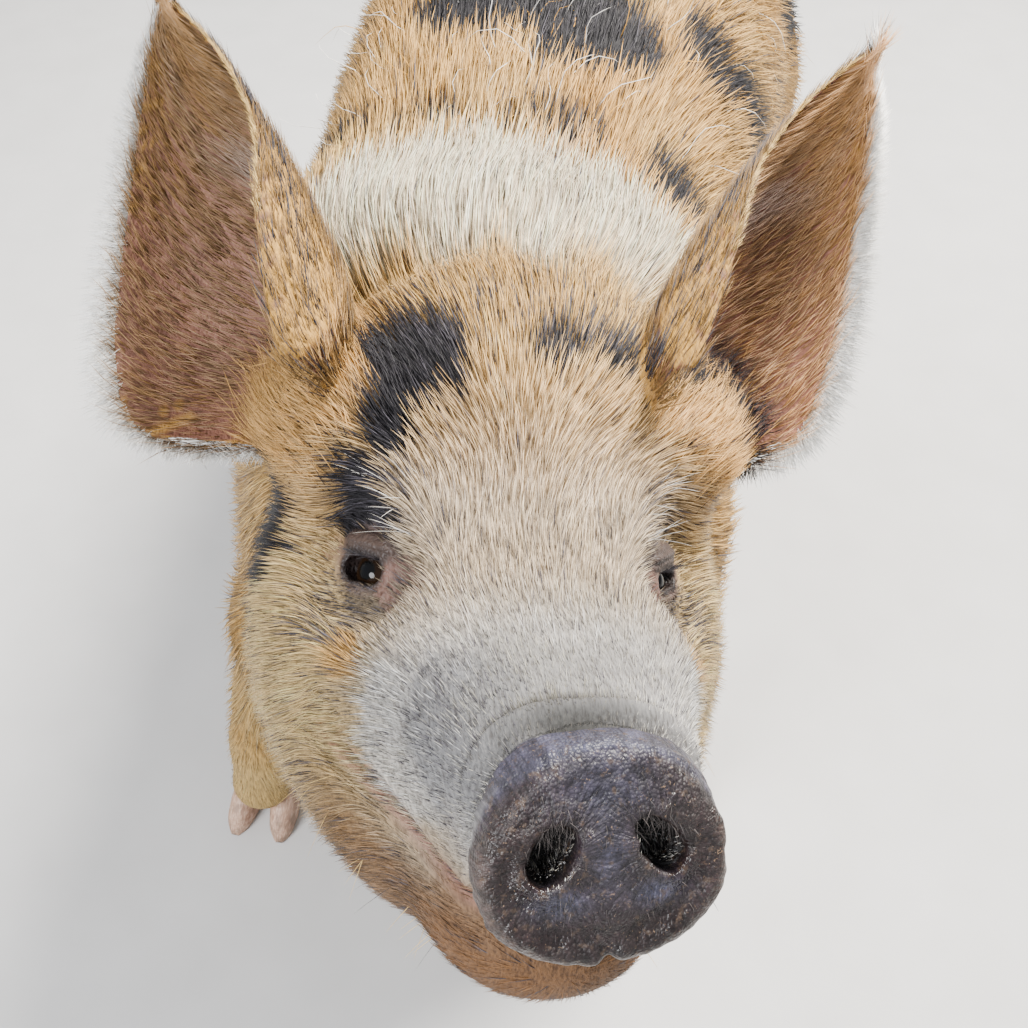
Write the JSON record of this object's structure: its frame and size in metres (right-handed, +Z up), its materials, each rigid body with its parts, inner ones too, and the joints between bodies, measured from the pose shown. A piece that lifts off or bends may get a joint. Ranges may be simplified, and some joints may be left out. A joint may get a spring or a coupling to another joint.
{
  "type": "domestic pig",
  "caption": "A life-size still model of a spotted ginger-and-cream domestic pig with black patches, standing with its bristly head raised and ears upright.",
  "frame": {"origin": "Middle of the bounding box, on the floor under the feet", "axes": "+Z up, the body lies along Y with the nose towards -Y, the pig's left side is +X"},
  "size_m": [0.4506, 1.196, 0.7341],
  "materials": {
    "golden_coat": "matte",
    "cream_coat": "matte",
    "face_coat": "matte",
    "ear_skin": "matte",
    "nose": "satin",
    "eye": "gloss",
    "claw": "satin"
  },
  "bodies": {
    "root": {"head": "face_coat", "jaw": "cream_coat", "neck": "cream_coat", "torso": "golden_coat", "tail": "golden_coat", "snout": "face_coat", "nose": "nose", "ear_left": "ear_skin", "ear_right": "ear_skin", "eye_left": "eye", "eye_right": "eye", "foreleg_left": "golden_coat", "foreleg_right": "golden_coat", "hindleg_left": "golden_coat", "hindleg_right": "golden_coat", "foreleg_left_claw_outer": "claw", "foreleg_left_claw_inner": "claw", "foreleg_left_dewclaw_outer": "claw", "foreleg_left_dewclaw_inner": "claw", "foreleg_right_claw_outer": "claw", "foreleg_right_claw_inner": "claw", "foreleg_right_dewclaw_outer": "claw", "foreleg_right_dewclaw_inner": "claw", "hindleg_left_claw_outer": "claw", "hindleg_left_claw_inner": "claw", "hindleg_left_dewclaw_outer": "claw", "hindleg_left_dewclaw_inner": "claw", "hindleg_right_claw_outer": "claw", "hindleg_right_claw_inner": "claw", "hindleg_right_dewclaw_outer": "claw", "hindleg_right_dewclaw_inner": "claw"}
  },
  "joints": []
}
